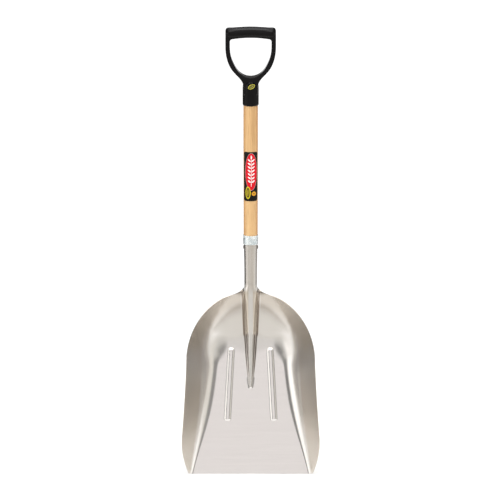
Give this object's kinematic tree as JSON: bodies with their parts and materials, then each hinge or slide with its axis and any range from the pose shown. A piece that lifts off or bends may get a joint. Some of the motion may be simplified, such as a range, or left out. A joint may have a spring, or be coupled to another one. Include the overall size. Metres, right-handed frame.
{
  "type": "grain scoop shovel",
  "caption": "Grain scoop with a wide, deep aluminium blade, a rolled socket, a straight wooden handle with a steel collar, and a plastic D grip.",
  "frame": {"origin": "on the handle's axis at the underside of the grip's bar, where a rack hook carries the scoop", "axes": "+Z along the handle from the blade to the grip, -Y out of the hollow side of the blade, +X to the right as the hollow side is looked at"},
  "size_m": [0.3684, 0.1431, 1.1967],
  "materials": {
    "blade_aluminium": "mill finish, lightly brushed along the blade",
    "handle_wood": "turned pale ash under clear lacquer",
    "collar_steel": "galvanised, dull, with a pale spangle",
    "rivet_steel": "plain steel, satin",
    "grip_plastic": "satin black moulded plastic",
    "screw_steel": "zinc plated",
    "label_film": "glossy printed film, black with a red panel",
    "badge_film": "glossy yellow film"
  },
  "bodies": {
    "root": {"blade": "blade_aluminium", "handle": "handle_wood", "collar": "collar_steel", "socket_rivet": "rivet_steel", "d_grip": "grip_plastic", "grip_screw": "screw_steel", "label": "label_film", "grip_badge": "badge_film"}
  },
  "joints": []
}
